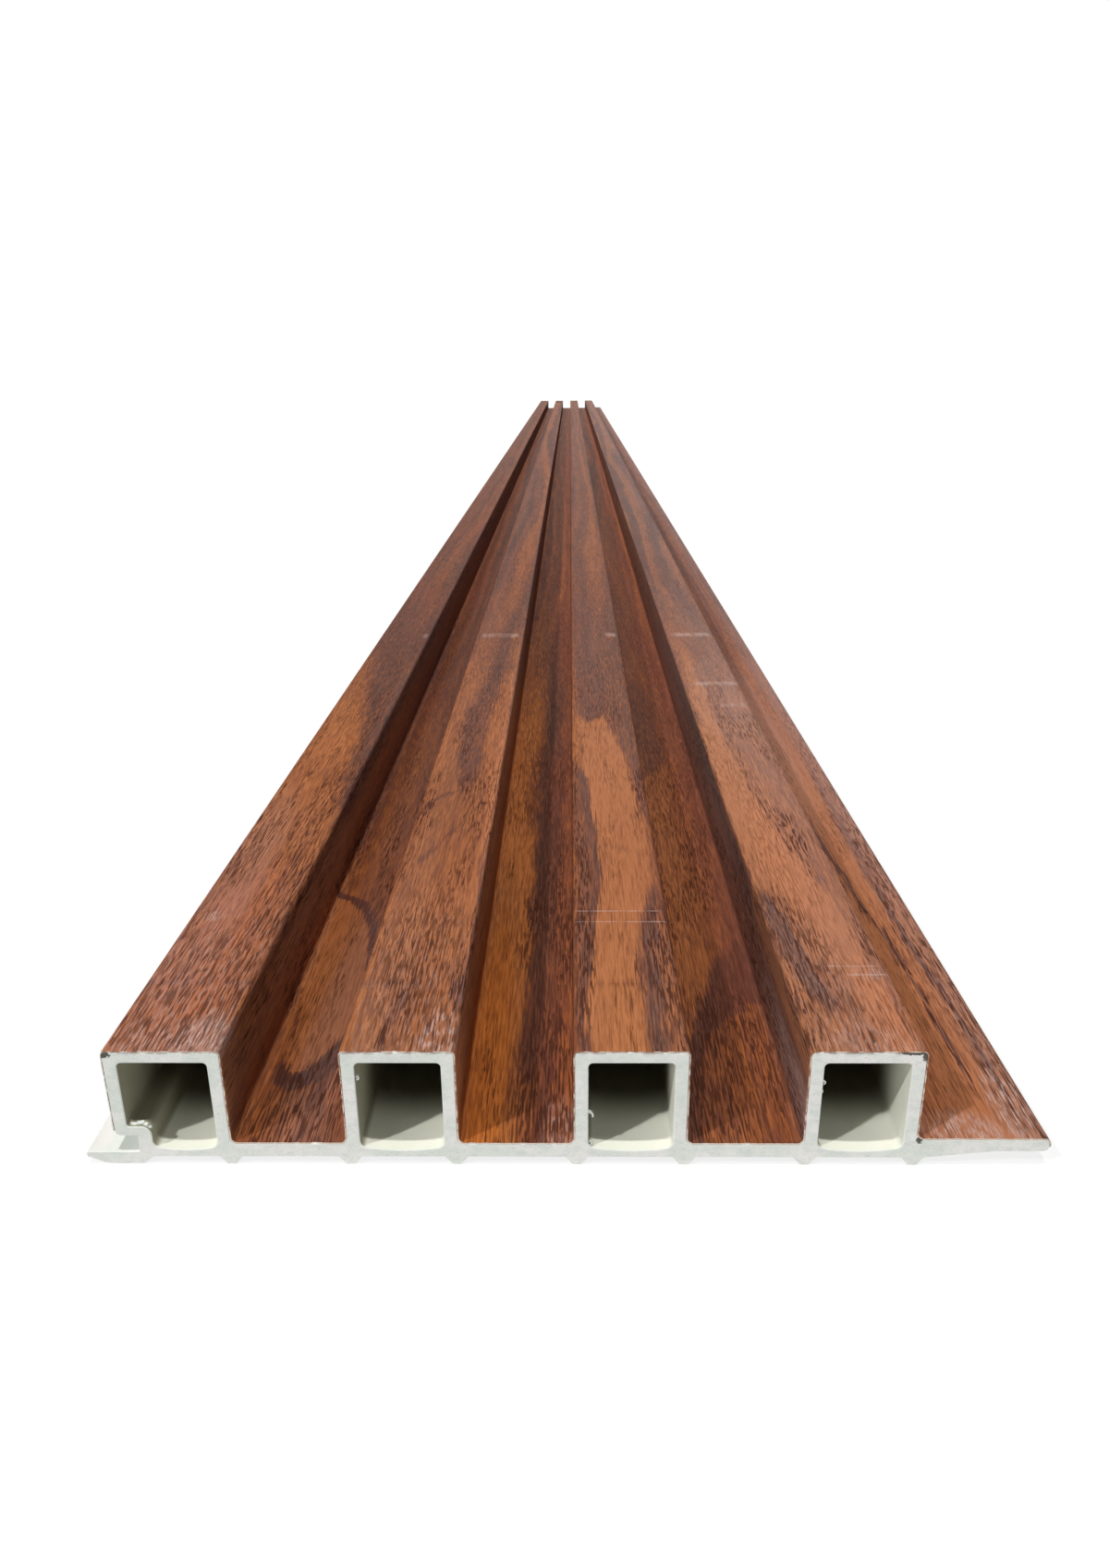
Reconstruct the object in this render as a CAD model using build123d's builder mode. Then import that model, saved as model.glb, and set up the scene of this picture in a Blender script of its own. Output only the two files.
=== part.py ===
"""Fluted composite wall panel: a hollow extrusion with a wood-grain film laminated on its face.

The panel lies on its back. X runs across the flutes, Y along the length and Z up through the face.
The origin is at the middle of the back, in the plane that the panel rests on.
"""

import os

from build123d import *

# Overall stock
panel_length = 2900.0
panel_height = 22.3
film_thickness = 0.2

# Ribs and the valleys between them
rib_count = 4
rib_pitch = 37.8
rib_width = 18.8
first_rib_width = 19.5
rib_corner_radius = 0.9
valley_corner_radius = 1.0
web_thickness = 2.9

# Chambers inside the ribs, with a floor that sags between its corners
side_wall = 2.4
roof_wall = 2.3
floor_wall = 1.4
floor_sag = 0.7
chamber_roof_radius = 0.8
chamber_floor_radius = 1.2

# Nubs under the rib walls, which keep the back off the wall behind
nub_height = 1.5
nub_crown = 1.4
nub_base = 3.8
nub_inset = 0.5
nub_radius = 0.4

# Fixing lip along the left edge, and the groove between it and the first rib
lip_reach = 5.2
lip_thickness = 2.5
lip_inner_reach = 4.2
lip_foot_run = 1.8
lip_tip_rise = 1.4
lip_tip_run = 3.6
lip_radius = 0.4
lip_belly_radius = 5.0
lip_foot_radius = 1.0
groove_height = 3.2
groove_roof = 1.8
groove_wall = 2.4
groove_radius = 0.5
ledge_radius = 1.6
hook_radius = 1.0

# Tongue along the right edge, which slides into the next panel's groove
tongue_reach = 3.6
tongue_nose_radius = 1.0
tongue_relief_run = 9.0
joint_clearance = 0.3

# Heights above the plane that the panel rests on
back_z = nub_height
valley_z = back_z + web_thickness
chamber_roof_z = panel_height - roof_wall
chamber_floor_z = back_z + floor_wall
hook_z = lip_thickness + groove_height
ledge_z = hook_z + groove_roof
tongue_bottom_z = lip_thickness + joint_clearance
tongue_top_z = hook_z - joint_clearance

# Places across the width
cover_width = rib_count * rib_pitch
overall_width = lip_reach + cover_width + tongue_reach
lip_tip_x = -overall_width / 2
tongue_tip_x = overall_width / 2


def rib_right(index):
    """X of a rib's right face."""
    return lip_tip_x + lip_reach + first_rib_width + index * rib_pitch


def rib_left(index):
    """X of a rib's left face. The first rib is wider, because it carries the groove."""
    return rib_right(index) - (rib_width if index > 0 else first_rib_width)


groove_root_x = rib_left(0) + tongue_reach + joint_clearance
last_rib = rib_count - 1


def face_line(depth):
    """Corners and radii of the decorated face, at a depth below its surface, from hook to tongue nose."""
    convex = rib_corner_radius - depth
    concave = valley_corner_radius + depth
    points = [(rib_left(0) + depth, hook_z + hook_radius)]
    radii = []
    for index in range(rib_count):
        points.append((rib_left(index) + depth, panel_height - depth))
        points.append((rib_right(index) - depth, panel_height - depth))
        radii += [convex, convex]
        if index < last_rib:
            points.append((rib_right(index) - depth, valley_z - depth))
            points.append((rib_left(index + 1) + depth, valley_z - depth))
            radii += [concave, concave]
    points.append((rib_right(last_rib) - depth, tongue_top_z - depth))
    points.append((tongue_tip_x - depth, tongue_top_z - depth))
    points.append((tongue_tip_x - depth, tongue_bottom_z + tongue_nose_radius))
    radii += [concave, tongue_nose_radius + film_thickness - depth]
    return points, radii


def nub_line(center_x):
    """Corners and radii of one nub on the back, from right to left."""
    points = [
        (center_x + nub_base / 2, back_z),
        (center_x + nub_crown / 2, 0),
        (center_x - nub_crown / 2, 0),
        (center_x - nub_base / 2, back_z),
    ]
    return points, [nub_radius] * len(points)


def back_line():
    """Corners and radii of the bare back, from the tongue's underside round the lip to the hook."""
    relief_end_x = tongue_tip_x - tongue_relief_run
    points = [(tongue_tip_x - film_thickness, tongue_bottom_z), (relief_end_x, tongue_bottom_z)]
    radii = [tongue_nose_radius, groove_radius]
    for index in reversed(range(rib_count)):
        nub_centers = [rib_right(index) - nub_inset]
        if index > 0:
            nub_centers.append(rib_left(index) + nub_inset)
        for center_x in nub_centers:
            nub_points, nub_radii = nub_line(center_x)
            points += nub_points
            radii += nub_radii
    lip_foot_x = rib_left(0) + lip_inner_reach
    points += [
        (lip_foot_x + lip_foot_run, back_z),
        (lip_foot_x, 0),
        (lip_tip_x + lip_tip_run, 0),
        (lip_tip_x, lip_tip_rise),
        (lip_tip_x, lip_thickness),
        (groove_root_x, lip_thickness),
        (groove_root_x, hook_z),
        (rib_left(0) + film_thickness, hook_z),
    ]
    radii += [nub_radius, lip_foot_radius, lip_belly_radius, lip_radius, lip_radius]
    radii += [groove_radius, groove_radius, hook_radius]
    return points, radii


def chamber_line(index):
    """Corners and radii of a chamber's walls and roof, from its left foot to its right foot."""
    left = rib_left(index) + side_wall
    right = rib_right(index) - side_wall
    foot_z = chamber_floor_z + floor_sag
    points = [(left, chamber_roof_z), (right, chamber_roof_z), (right, foot_z)]
    radii = [chamber_roof_radius, chamber_roof_radius]
    if index > 0:
        return [(left, foot_z)] + points, radii
    # The groove's root and roof step into the first chamber
    step = groove_root_x + groove_wall
    points = [(step, foot_z), (step, ledge_z), (left, ledge_z)] + points
    return points, [ledge_radius, groove_radius] + radii


# Core: one hollow extrusion in pale composite, with its chambers open at both ends
with BuildPart() as core:
    with BuildSketch(Plane.XZ) as core_section:
        face_points, face_radii = face_line(film_thickness)
        back_points, back_radii = back_line()
        with BuildLine():
            FilletPolyline(
                *face_points[1:-1],
                *back_points,
                radius=face_radii + back_radii,
                close=True,
            )
        make_face()
        for rib in range(rib_count):
            wall_points, wall_radii = chamber_line(rib)
            with BuildLine():
                walls = FilletPolyline(*wall_points, radius=wall_radii)
                left_foot = walls @ 0
                right_foot = walls @ 1
                floor_middle = ((left_foot.X + right_foot.X) / 2, chamber_floor_z)
                ThreePointArc(right_foot, floor_middle, left_foot)
            make_face(mode=Mode.SUBTRACT)
            for foot in (left_foot, right_foot):
                fillet(core_section.vertices().sort_by_distance(foot)[0], chamber_floor_radius)
    extrude(amount=panel_length / 2, both=True)

# Film: a printed skin bonded to the face, from the hook over the ribs to the tongue's nose
with BuildPart() as film:
    with BuildSketch(Plane.XZ):
        outer_points, outer_radii = face_line(0)
        inner_points, inner_radii = face_line(film_thickness)
        with BuildLine():
            outer = FilletPolyline(*outer_points, radius=outer_radii)
            inner = FilletPolyline(*inner_points, radius=inner_radii)
            Line(outer @ 0, inner @ 0)
            Line(outer @ 1, inner @ 1)
        make_face()
    extrude(amount=panel_length / 2, both=True)

core.part.label = "extruded_core"
film.part.label = "woodgrain_film"

os.makedirs("parts", exist_ok=True)
export_step(core.part, "parts/extruded_core.step")
export_step(film.part, "parts/woodgrain_film.step")
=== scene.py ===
import math
import random

import bmesh
import bpy
from mathutils import Matrix, Vector


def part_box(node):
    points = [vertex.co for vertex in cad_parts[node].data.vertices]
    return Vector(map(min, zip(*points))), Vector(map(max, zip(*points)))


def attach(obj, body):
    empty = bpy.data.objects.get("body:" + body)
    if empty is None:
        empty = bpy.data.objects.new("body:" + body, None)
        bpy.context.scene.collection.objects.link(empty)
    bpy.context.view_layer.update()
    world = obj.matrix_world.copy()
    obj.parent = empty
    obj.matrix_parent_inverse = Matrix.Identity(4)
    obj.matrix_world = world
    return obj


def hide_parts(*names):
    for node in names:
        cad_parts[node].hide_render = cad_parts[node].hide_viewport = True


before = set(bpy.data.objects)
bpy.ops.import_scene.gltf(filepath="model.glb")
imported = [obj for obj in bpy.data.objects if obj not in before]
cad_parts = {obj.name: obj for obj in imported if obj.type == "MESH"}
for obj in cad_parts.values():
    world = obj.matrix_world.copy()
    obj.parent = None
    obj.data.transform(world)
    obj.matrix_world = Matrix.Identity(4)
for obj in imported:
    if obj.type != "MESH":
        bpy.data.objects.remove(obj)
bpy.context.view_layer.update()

# Extruded core: one hollow length of pale foamed composite, drawn through a die and sawn square at both ends.
# Four ribs with a chamber in each, webs between them and nubs on the back.
# A fixing lip and a groove run along the left edge, and a tongue along the right one.
MM = 0.001
core_low, core_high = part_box("extruded_core")
_, film_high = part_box("woodgrain_film")
lip_tip = core_low.x
tongue_tip = film_high.x
panel_top = film_high.z
near_end = core_low.y
far_end = core_high.y
film_thickness = film_high.z - core_high.z

rib_count = 4
rib_pitch = 37.8 * MM
rib_width = 18.8 * MM
first_rib_width = 19.5 * MM
rib_round = 0.9 * MM
valley_round = 1.0 * MM
back_height = 1.5 * MM
valley_height = 4.4 * MM

chamber_roof = panel_top - 2.3 * MM
chamber_foot = 3.6 * MM
chamber_floor_dip = 2.3 * MM
chamber_floor_round = 30.0 * MM
side_wall = 2.4 * MM
roof_round = 0.8 * MM
foot_round = 1.2 * MM

nub_crown = 1.4 * MM
nub_base = 3.8 * MM
nub_inset = 0.5 * MM
nub_round = 0.4 * MM

lip_reach = 5.2 * MM
lip_top = 2.5 * MM
lip_tip_rise = 1.4 * MM
lip_tip_run = 3.6 * MM
lip_foot_reach = 4.2 * MM
lip_foot_run = 1.8 * MM
lip_round = 0.4 * MM
lip_belly_round = 5.0 * MM
lip_foot_round = 1.0 * MM
groove_reach = 3.9 * MM
groove_roof = 1.8 * MM
groove_wall = 2.4 * MM
groove_round = 0.5 * MM
ledge_round = 1.6 * MM
hook_height = 5.7 * MM
hook_round = 1.0 * MM

tongue_bottom = 2.8 * MM
tongue_top = 5.4 * MM
tongue_relief = 9.0 * MM
nose_round = 1.0 * MM

sawn_rim = 0.15 * MM
wide_round = 10.0 * MM
wide_steps = 12
tight_steps = 6

composite_tones = ((0.68, 0.72, 0.67, 1), (0.77, 0.76, 0.74, 1))
smear_colour = (0.60, 0.64, 0.62, 1)
grit_colour = (0.42, 0.42, 0.37, 1)
dirt_colour = (0.26, 0.15, 0.11, 1)
dirt_start = 21.55 * MM
dirt_full = 22.05 * MM
# Chamber skin: pale at the mouths, with painted shade that darkens it on the left walls and deeper inside,
# from the first depth to the second
mouth_tones = ((0.77, 0.78, 0.68, 1), (0.84, 0.85, 0.75, 1))
wall_shade_colour = (0.30, 0.285, 0.21, 1)
deep_shade_tones = ((0.10, 0.088, 0.05, 1), (0.15, 0.13, 0.08, 1))
shade_start_depth = 6.5 * MM
shade_full_depth = 17.0 * MM

# Painted shade in chips at the near end, dark spots under the film's edge where small torn notches lie in
# shadow: each one's place in the section, half its width and half its height
chip_shade_colour = (0.055, 0.05, 0.036, 1)
shaded_chips = [
    (-74.1 * MM, 21.6 * MM, 1.0 * MM, 0.7 * MM),
    (55.7 * MM, 22.0 * MM, 2.4 * MM, 0.4 * MM),
    (57.6 * MM, 21.3 * MM, 0.5 * MM, 0.9 * MM),
    (58.3 * MM, 5.1 * MM, 0.6 * MM, 0.7 * MM),
]


def rib_right(index):
    """X of a rib's right face."""
    return lip_tip + lip_reach + first_rib_width + index * rib_pitch


def rib_left(index):
    """X of a rib's left face. The first rib is wider, because it carries the groove."""
    return rib_right(index) - (rib_width if index > 0 else first_rib_width)


groove_root = rib_left(0) + groove_reach


def face_corners(depth):
    """Corners of the decorated face and their radii at a depth under it, from the first rib to the tongue."""
    convex = rib_round - depth
    concave = valley_round + depth
    corners = []
    for index in range(rib_count):
        left = rib_left(index) + depth
        right = rib_right(index) - depth
        last = index == rib_count - 1
        floor = (tongue_top if last else valley_height) - depth
        top = panel_top - depth
        corners += [(left, top, convex), (right, top, convex), (right, floor, concave)]
        if not last:
            corners.append((rib_left(index + 1) + depth, floor, concave))
    corners.append((tongue_tip - depth, tongue_top - depth, nose_round + film_thickness - depth))
    return corners


def back_corners():
    """Corners of the bare back and their radii, from the tongue's underside round the lip to the hook."""
    corners = [
        (tongue_tip - film_thickness, tongue_bottom, nose_round),
        (tongue_tip - tongue_relief, tongue_bottom, groove_round),
    ]
    for index in reversed(range(rib_count)):
        nubs = [rib_right(index) - nub_inset]
        if index > 0:
            nubs.append(rib_left(index) + nub_inset)
        for nub in nubs:
            corners += [
                (nub + nub_base / 2, back_height, nub_round),
                (nub + nub_crown / 2, 0.0, nub_round),
                (nub - nub_crown / 2, 0.0, nub_round),
                (nub - nub_base / 2, back_height, nub_round),
            ]
    lip_foot = rib_left(0) + lip_foot_reach
    corners += [
        (lip_foot + lip_foot_run, back_height, nub_round),
        (lip_foot, 0.0, lip_foot_round),
        (lip_tip + lip_tip_run, 0.0, lip_belly_round),
        (lip_tip, lip_tip_rise, lip_round),
        (lip_tip, lip_top, lip_round),
        (groove_root, lip_top, groove_round),
        (groove_root, hook_height, groove_round),
        (rib_left(0) + film_thickness, hook_height, hook_round),
    ]
    return corners


def chamber_corners(index):
    """Corners of a chamber and their radii. The groove steps into the first one."""
    left = rib_left(index) + side_wall
    right = rib_right(index) - side_wall
    corners = [
        (right, chamber_foot, foot_round),
        (right, chamber_roof, roof_round),
        (left, chamber_roof, roof_round),
    ]
    foot = left
    if index == 0:
        foot = groove_root + groove_wall
        ledge = hook_height + groove_roof
        corners += [(left, ledge, groove_round), (foot, ledge, ledge_round)]
    corners += [
        (foot, chamber_foot, foot_round),
        ((foot + right) / 2, chamber_floor_dip, chamber_floor_round),
    ]
    return corners


def draw_outline(mesh, corners, y, closed):
    """Draws a section line in the plane at y, with its corners rounded, and returns its vertices."""
    known = set(mesh.verts)
    points = [mesh.verts.new((x, y, z)) for x, z, _ in corners]
    ends = points[1:] + points[:1] if closed else points[1:]
    for start, end in zip(points, ends):
        mesh.edges.new((start, end))
    for point, (_, _, radius) in zip(points, corners):
        if radius == 0.0:
            continue
        before, after = (edge.other_vert(point).co - point.co for edge in point.link_edges)
        run = radius / math.tan(before.angle(after) / 2)
        steps = wide_steps if radius > wide_round else tight_steps
        bmesh.ops.bevel(
            mesh, geom=[point], affect="VERTICES", offset=run, segments=steps, profile=0.5, material=-1
        )
    return [vert for vert in mesh.verts if vert not in known]


def finish_piece(name, mesh, materials, sharp_angle=30.0):
    """Turns a bmesh into a smooth-shaded object at the origin, with its hard edges kept hard."""
    for face in mesh.faces:
        face.smooth = True
    data = bpy.data.meshes.new(name)
    mesh.to_mesh(data)
    mesh.free()
    data.set_sharp_from_angle(angle=math.radians(sharp_angle))
    for material in materials:
        data.materials.append(material)
    piece = bpy.data.objects.new(name, data)
    bpy.context.scene.collection.objects.link(piece)
    return piece


def start_material(name):
    """A material with a Principled shader, as its node tree and shader."""
    material = bpy.data.materials.new(name)
    material.use_nodes = True
    return material, material.node_tree, material.node_tree.nodes["Principled BSDF"]


def add(tree, kind, inputs=None, **settings):
    """Adds a node, sets its properties, and links or sets its inputs."""
    made = tree.nodes.new(kind)
    for name, value in settings.items():
        setattr(made, name, value)
    for socket, value in (inputs or {}).items():
        if isinstance(value, bpy.types.NodeSocket):
            tree.links.new(value, made.inputs[socket])
        else:
            made.inputs[socket].default_value = value
    return made


def calc(tree, operation, *values):
    """The result of one sum on numbers or sockets."""
    return add(tree, "ShaderNodeMath", dict(enumerate(values)), operation=operation).outputs[0]


def fade(tree, value, start, end, low=0.0, high=1.0):
    """Runs smoothly from low to high as a value goes from start to end."""
    inputs = {"Value": value, "From Min": start, "From Max": end, "To Min": low, "To Max": high}
    return add(tree, "ShaderNodeMapRange", inputs, interpolation_type="SMOOTHSTEP").outputs["Result"]


def blotches(tree, vector, size, seed, detail=2.0):
    """Noise on a vector in metres, with blotches of this size on each axis, in millimetres."""
    scale = [1.0 / (MM * across) for across in size]
    inputs = {"Vector": vector, "Location": (seed, 2.3 * seed, 3.1 * seed), "Scale": scale}
    place = add(tree, "ShaderNodeMapping", inputs).outputs["Vector"]
    return add(tree, "ShaderNodeTexNoise", {"Vector": place, "Scale": 1.0, "Detail": detail}).outputs[0]


def mix(tree, share, first, second, blend_type="MIX"):
    """Two colours mixed, with the share of the second one."""
    made = add(tree, "ShaderNodeMix", data_type="RGBA", blend_type=blend_type)
    for socket, value in ((made.inputs[0], share), (made.inputs[6], first), (made.inputs[7], second)):
        if isinstance(value, bpy.types.NodeSocket):
            tree.links.new(value, socket)
        else:
            socket.default_value = value
    return made.outputs[2]


def composite_material():
    """Pale composite: dull and finely torn where it was sawn, with faint die lines where it was drawn."""
    material, tree, shader = start_material("pale_composite")
    place = add(tree, "ShaderNodeTexCoord").outputs
    facing = add(tree, "ShaderNodeSeparateXYZ", {"Vector": place["Normal"]}).outputs["Y"]
    sawn = fade(tree, calc(tree, "ABSOLUTE", facing), 0.6, 0.9)
    mottle = blotches(tree, place["Object"], (6.0, 30.0, 4.0), 1.7, 3.0)
    smears = blotches(tree, place["Object"], (1.6, 30.0, 1.1), 2.6, 3.0)
    grit = blotches(tree, place["Object"], (0.35, 0.35, 0.35), 5.1, 2.0)
    die_lines = blotches(tree, place["Object"], (0.5, 400.0, 0.5), 3.4, 2.0)
    tone = mix(tree, fade(tree, mottle, 0.35, 0.65), *composite_tones)
    smeared = calc(tree, "MULTIPLY", sawn, fade(tree, smears, 0.42, 0.7, 0.0, 0.6))
    tone = mix(tree, smeared, tone, smear_colour)
    gritty = calc(tree, "MULTIPLY", sawn, fade(tree, grit, 0.52, 0.78, 0.0, 0.4))
    tone = mix(tree, gritty, tone, grit_colour)

    # Dirt along the film on the crowns, and painted shade in the chips at the near end's outer corners
    section = add(tree, "ShaderNodeSeparateXYZ", {"Vector": place["Object"]}).outputs
    near_film = fade(tree, section["Z"], dirt_start, dirt_full)
    dirt = calc(tree, "MULTIPLY", near_film, fade(tree, smears, 0.4, 0.6))
    tone = mix(tree, calc(tree, "MULTIPLY", dirt, 0.6), tone, dirt_colour)
    for x, z, half_width, half_height in shaded_chips:
        beside = calc(tree, "DIVIDE", calc(tree, "SUBTRACT", section["X"], x), half_width)
        above = calc(tree, "DIVIDE", calc(tree, "SUBTRACT", section["Z"], z), half_height)
        squares = [calc(tree, "MULTIPLY", away, away) for away in (beside, above)]
        reach = calc(tree, "ADD", *squares)
        reach = calc(tree, "ADD", reach, calc(tree, "SUBTRACT", calc(tree, "MULTIPLY", grit, 3.0), 1.5))
        chip_shade = calc(tree, "MULTIPLY", fade(tree, reach, 1.1, 0.6), calc(tree, "LESS_THAN", section["Y"], 0.0))
        tone = mix(tree, calc(tree, "MULTIPLY", chip_shade, 0.95), tone, chip_shade_colour)
    tree.links.new(tone, shader.inputs["Base Color"])
    tree.links.new(fade(tree, sawn, 0.0, 1.0, 0.42, 0.75), shader.inputs["Roughness"])
    shader.inputs["Specular IOR Level"].default_value = 0.3
    relief = add(tree, "ShaderNodeMix", {0: sawn, 2: die_lines, 3: grit}).outputs[0]
    bump = add(tree, "ShaderNodeBump", {"Height": relief, "Strength": 0.35, "Distance": 0.2 * MM})
    tree.links.new(bump.outputs["Normal"], shader.inputs["Normal"])
    return material


def chamber_material():
    """The chambers' drawn skin: pale at the mouths, with painted shade that darkens it deeper inside, on the
    left walls and on the first one's ledge.
    """
    material, tree, shader = start_material("chamber_skin")
    coordinates = add(tree, "ShaderNodeTexCoord").outputs
    place = coordinates["Object"]
    section = add(tree, "ShaderNodeSeparateXYZ", {"Vector": place}).outputs
    leftward = add(tree, "ShaderNodeSeparateXYZ", {"Vector": coordinates["Normal"]}).outputs["X"]
    depth = calc(tree, "SUBTRACT", far_end, calc(tree, "ABSOLUTE", section["Y"]))
    cloud = blotches(tree, place, (5.0, 12.0, 5.0), 2.2, 3.0)
    die_lines = blotches(tree, place, (0.6, 300.0, 0.6), 4.4, 2.0)
    mouth = mix(tree, cloud, *mouth_tones)
    # Painted shade on the left walls and on the first chamber's ledge
    ledge_edge = groove_root + groove_wall
    ledge = fade(tree, section["X"], ledge_edge + 0.6 * MM, ledge_edge - 0.4 * MM)
    dull = calc(tree, "MAXIMUM", fade(tree, leftward, 0.2, 0.9), ledge)
    mouth = mix(tree, dull, mouth, wall_shade_colour)
    # Painted shade deeper inside: the skin fades to the dark inner tones between the two depths
    inner = mix(tree, cloud, *deep_shade_tones)
    skin = mix(tree, fade(tree, depth, shade_start_depth, shade_full_depth), mouth, inner)
    tree.links.new(skin, shader.inputs["Base Color"])
    shader.inputs["Roughness"].default_value = 0.5
    shader.inputs["Specular IOR Level"].default_value = 0.25
    bump = add(tree, "ShaderNodeBump", {"Height": die_lines, "Strength": 0.3, "Distance": 0.1 * MM})
    tree.links.new(bump.outputs["Normal"], shader.inputs["Normal"])
    return material


core_mesh = bmesh.new()
chamber_mark = core_mesh.verts.layers.int.new("chamber")
draw_outline(core_mesh, face_corners(film_thickness) + back_corners(), near_end + sawn_rim, closed=True)
for rib in range(rib_count):
    for vert in draw_outline(core_mesh, chamber_corners(rib), near_end + sawn_rim, closed=True):
        vert[chamber_mark] = 1
bmesh.ops.triangle_fill(core_mesh, edges=core_mesh.edges, use_beauty=True, normal=(0, -1, 0))
drawn = bmesh.ops.extrude_face_region(core_mesh, geom=core_mesh.faces[:])["geom"]
bmesh.ops.translate(
    core_mesh,
    verts=[item for item in drawn if isinstance(item, bmesh.types.BMVert)],
    vec=(0, far_end - near_end - 2 * sawn_rim, 0),
)
bmesh.ops.recalc_face_normals(core_mesh, faces=core_mesh.faces)
ends = [face for face in core_mesh.faces if abs(face.normal.y) > 0.5]
bmesh.ops.inset_region(core_mesh, faces=ends, thickness=sawn_rim, depth=sawn_rim, use_even_offset=True)
for face in core_mesh.faces:
    if abs(face.normal.y) < 0.5 and all(vert[chamber_mark] for vert in face.verts):
        face.material_index = 1
composite = composite_material()
core = finish_piece("sawn_core", core_mesh, [composite, chamber_material()])
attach(core, "root")
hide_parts("extruded_core")

# Saw burrs: torn flakes of the core at the near end's chamber mouths, and shavings on the first one's ledge.
# They are the same composite, curled by the saw, and each lies on a wall or still hangs on it by one side.
burr_thickness = 0.24 * MM
burr_steps = 10
burr_depth = 0.3 * MM
ledge_height = hook_height + groove_roof
burr_mesh = bmesh.new()


def curl(x, z, radius, width, start, turn, lean):
    """Adds a curled flake, bent through a turn in degrees round a line along the panel, then leaned over."""
    middle = Vector((x, near_end, z))
    arm = Matrix.Rotation(-math.radians(start), 3, "Y") @ Vector((radius, 0, 0))
    edge = [burr_mesh.verts.new(middle + arm + Vector((0, side * width / 2, 0))) for side in (-1, 1)]
    known = set(burr_mesh.verts) - set(edge)
    burr_mesh.edges.new(edge)
    bmesh.ops.spin(
        burr_mesh,
        geom=edge + edge[0].link_edges[:],
        cent=middle,
        axis=(0, -1, 0),
        angle=math.radians(turn),
        steps=burr_steps,
    )
    flake = [vert for vert in burr_mesh.verts if vert not in known]
    leaned = Matrix.Rotation(math.radians(lean), 3, "Z")
    bmesh.ops.rotate(burr_mesh, cent=middle, matrix=leaned, verts=flake)
    behind = near_end + burr_depth - min(vert.co.y for vert in flake)
    bmesh.ops.translate(burr_mesh, vec=(0, behind, 0), verts=flake)


curl(rib_left(0) + 3.4 * MM, ledge_height + 0.1 * MM, 0.3 * MM, 1.2 * MM, 40.0, 290.0, 80.0)
curl(rib_left(0) + 4.5 * MM, ledge_height + 0.2 * MM, 0.4 * MM, 1.1 * MM, 10.0, 300.0, 105.0)
curl(rib_left(0) + 5.3 * MM, ledge_height - 0.05 * MM, 0.36 * MM, 1.0 * MM, 60.0, 280.0, 70.0)
curl(rib_left(0) + 5.8 * MM, ledge_height - 0.6 * MM, 0.3 * MM, 0.7 * MM, 20.0, 280.0, 120.0)
curl(rib_left(1) + side_wall + 0.2 * MM, 16.9 * MM, 0.4 * MM, 0.6 * MM, 120.0, -230.0, 15.0)
curl(rib_left(2) + side_wall, 9.5 * MM, 0.85 * MM, 0.6 * MM, 110.0, -130.0, 10.0)
curl(rib_left(2) + side_wall + 0.4 * MM, chamber_foot + 0.4 * MM, 0.4 * MM, 0.6 * MM, 160.0, -260.0, -20.0)
curl(rib_left(3) + side_wall + 0.1 * MM, 16.1 * MM, 0.4 * MM, 0.5 * MM, 110.0, -200.0, 20.0)
curl(rib_left(3) + side_wall, 14.4 * MM, 0.25 * MM, 0.4 * MM, 100.0, -180.0, -10.0)
bmesh.ops.recalc_face_normals(burr_mesh, faces=burr_mesh.faces)
bmesh.ops.solidify(burr_mesh, geom=burr_mesh.faces[:], thickness=burr_thickness)
burrs = finish_piece("saw_burrs", burr_mesh, [composite])
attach(burrs, "root")

# Wood-grain film: a thin printed and embossed plastic film, rolled hot onto the face of the drawn core.
# It runs from the hook over all the ribs to the tongue's nose, and the saw frayed its cut ends.
film_column = 0.45 * MM
film_rows = [0.0, 1.2 * MM, 4.0 * MM, 12.0 * MM, 40.0 * MM, 150.0 * MM, 600.0 * MM]
fray_common = 0.04 * MM
fray_chip = 0.2 * MM
fray_chip_share = 0.03
cut_reach = 0.01 * MM
even = 1000.0
noise_gain = 4.0
figure_span = 300.0
streak_width = 7.0
pore_strength = 0.84
red_colour = (0.22, 0.058, 0.032, 1)
# Pale veil of the rubbed crowns, also painted sheen and painted light
sheen_veil_colour = (0.52, 0.40, 0.38, 1)
# Scuffs, also painted glints on the embossing
scuff_and_glint_colour = (0.56, 0.38, 0.33, 1)
pore_colour = (0.054, 0.018, 0.011, 1)
# Crosswise rubs, also painted glints on creases
rub_and_glint_colour = (0.58, 0.43, 0.39, 1)
edge_wall_colour = (0.75, 0.76, 0.72, 1)
edge_cream_colour = (0.72, 0.60, 0.50, 1)
edge_print_colour = (0.30, 0.13, 0.075, 1)


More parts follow.
